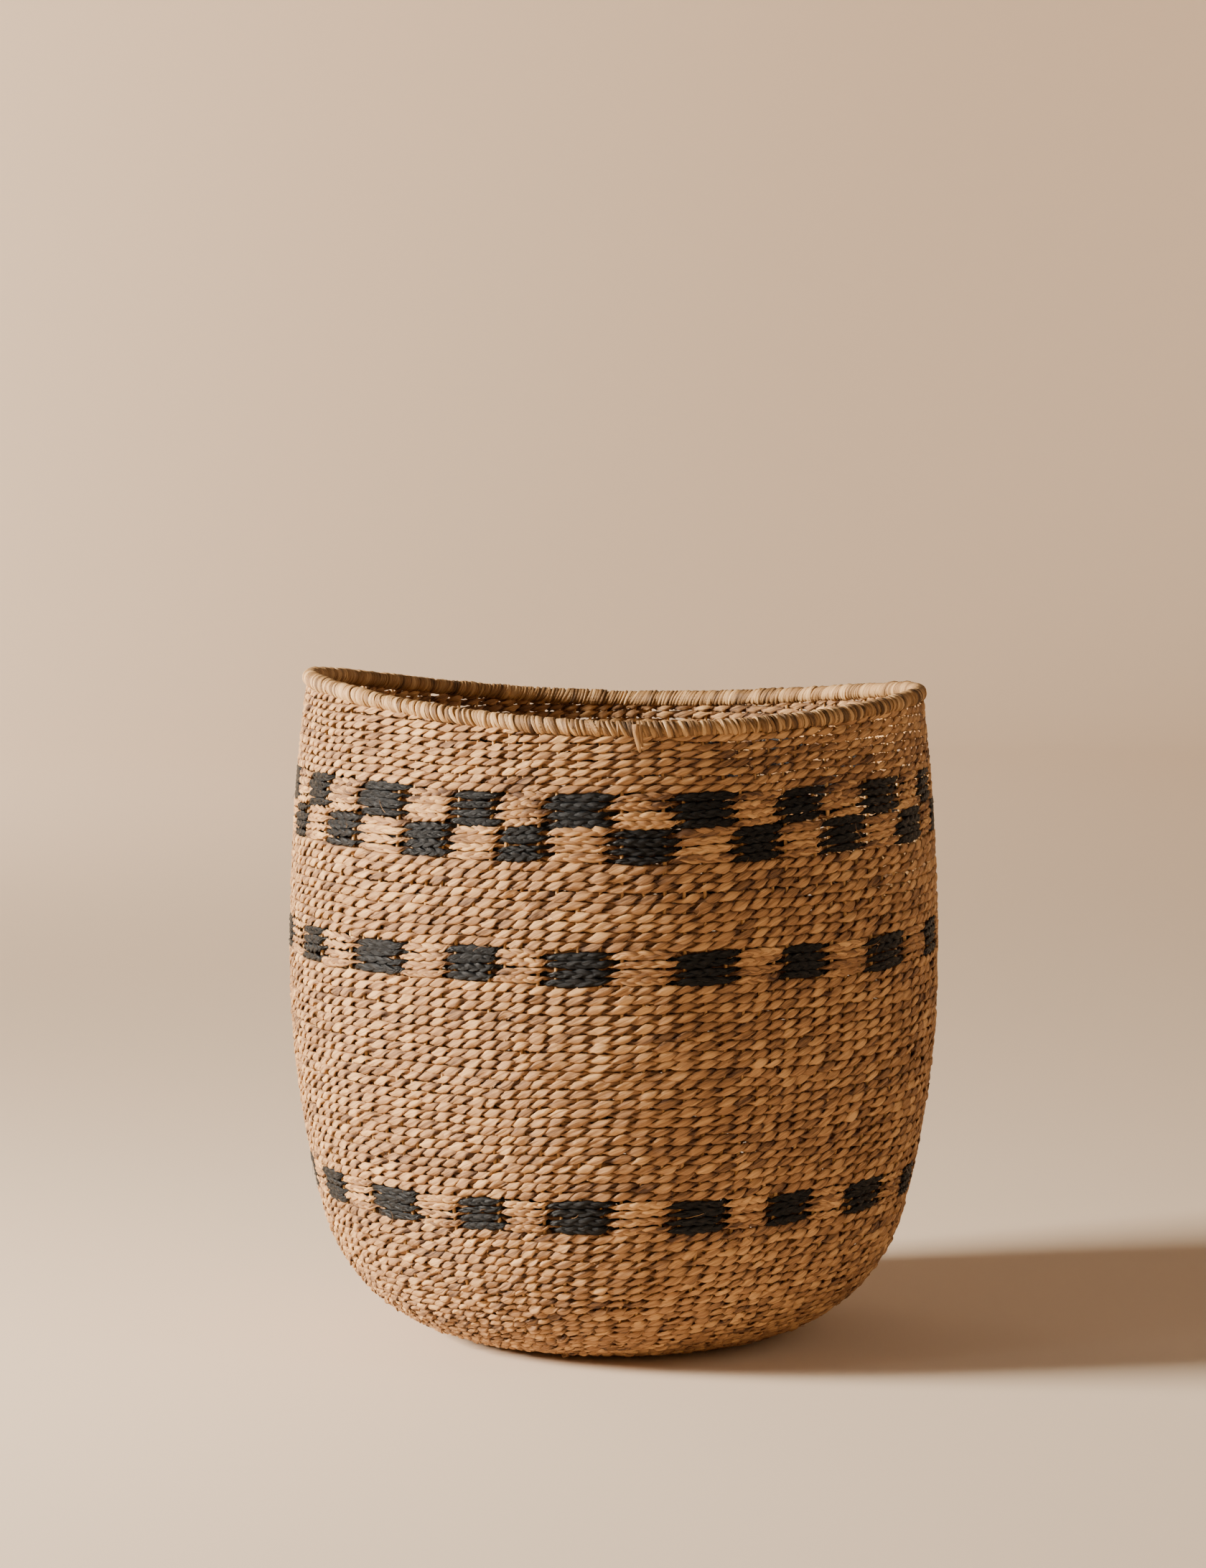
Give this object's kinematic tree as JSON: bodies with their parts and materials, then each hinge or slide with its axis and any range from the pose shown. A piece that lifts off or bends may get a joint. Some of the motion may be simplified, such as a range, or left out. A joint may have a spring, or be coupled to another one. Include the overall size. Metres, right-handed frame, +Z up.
{
  "type": "storage basket",
  "caption": "Barrel-shaped twined seagrass storage basket with checker bands in black strand and a wrapped rim, open at the top.",
  "frame": {"origin": "on the floor, under the middle of the basket", "axes": "+Z up, -Y towards the front of the basket, +X to its right as seen from the front"},
  "size_m": [0.5039, 0.504, 0.5167],
  "materials": {
    "natural_seagrass": "matte dried seagrass, fibrous, tan with golden, reddish and olive strands",
    "black_seagrass": "black dyed seagrass, low sheen, grey scuffs on the fibres",
    "rim_seagrass": "matte seagrass strand, tightly wrapped, fibrous",
    "cane": "smooth peeled rod, satin"
  },
  "bodies": {
    "root": {"base_knot": "natural_seagrass", "base_spokes": "cane", "base_inner_weave": "natural_seagrass", "base_outer_weave": "natural_seagrass", "heel_weave": "natural_seagrass", "bowl_weave": "natural_seagrass", "low_band_natural": "natural_seagrass", "low_band_black": "black_seagrass", "belly_weave": "natural_seagrass", "middle_band_natural": "natural_seagrass", "middle_band_black": "black_seagrass", "shoulder_weave": "natural_seagrass", "upper_band_lower_natural": "natural_seagrass", "upper_band_lower_black": "black_seagrass", "upper_band_upper_natural": "natural_seagrass", "upper_band_upper_black": "black_seagrass", "neck_weave": "natural_seagrass", "main_stakes": "cane", "added_stakes": "cane", "rim_hoop": "cane", "rim_binding": "rim_seagrass", "binding_end": "rim_seagrass"}
  },
  "joints": []
}
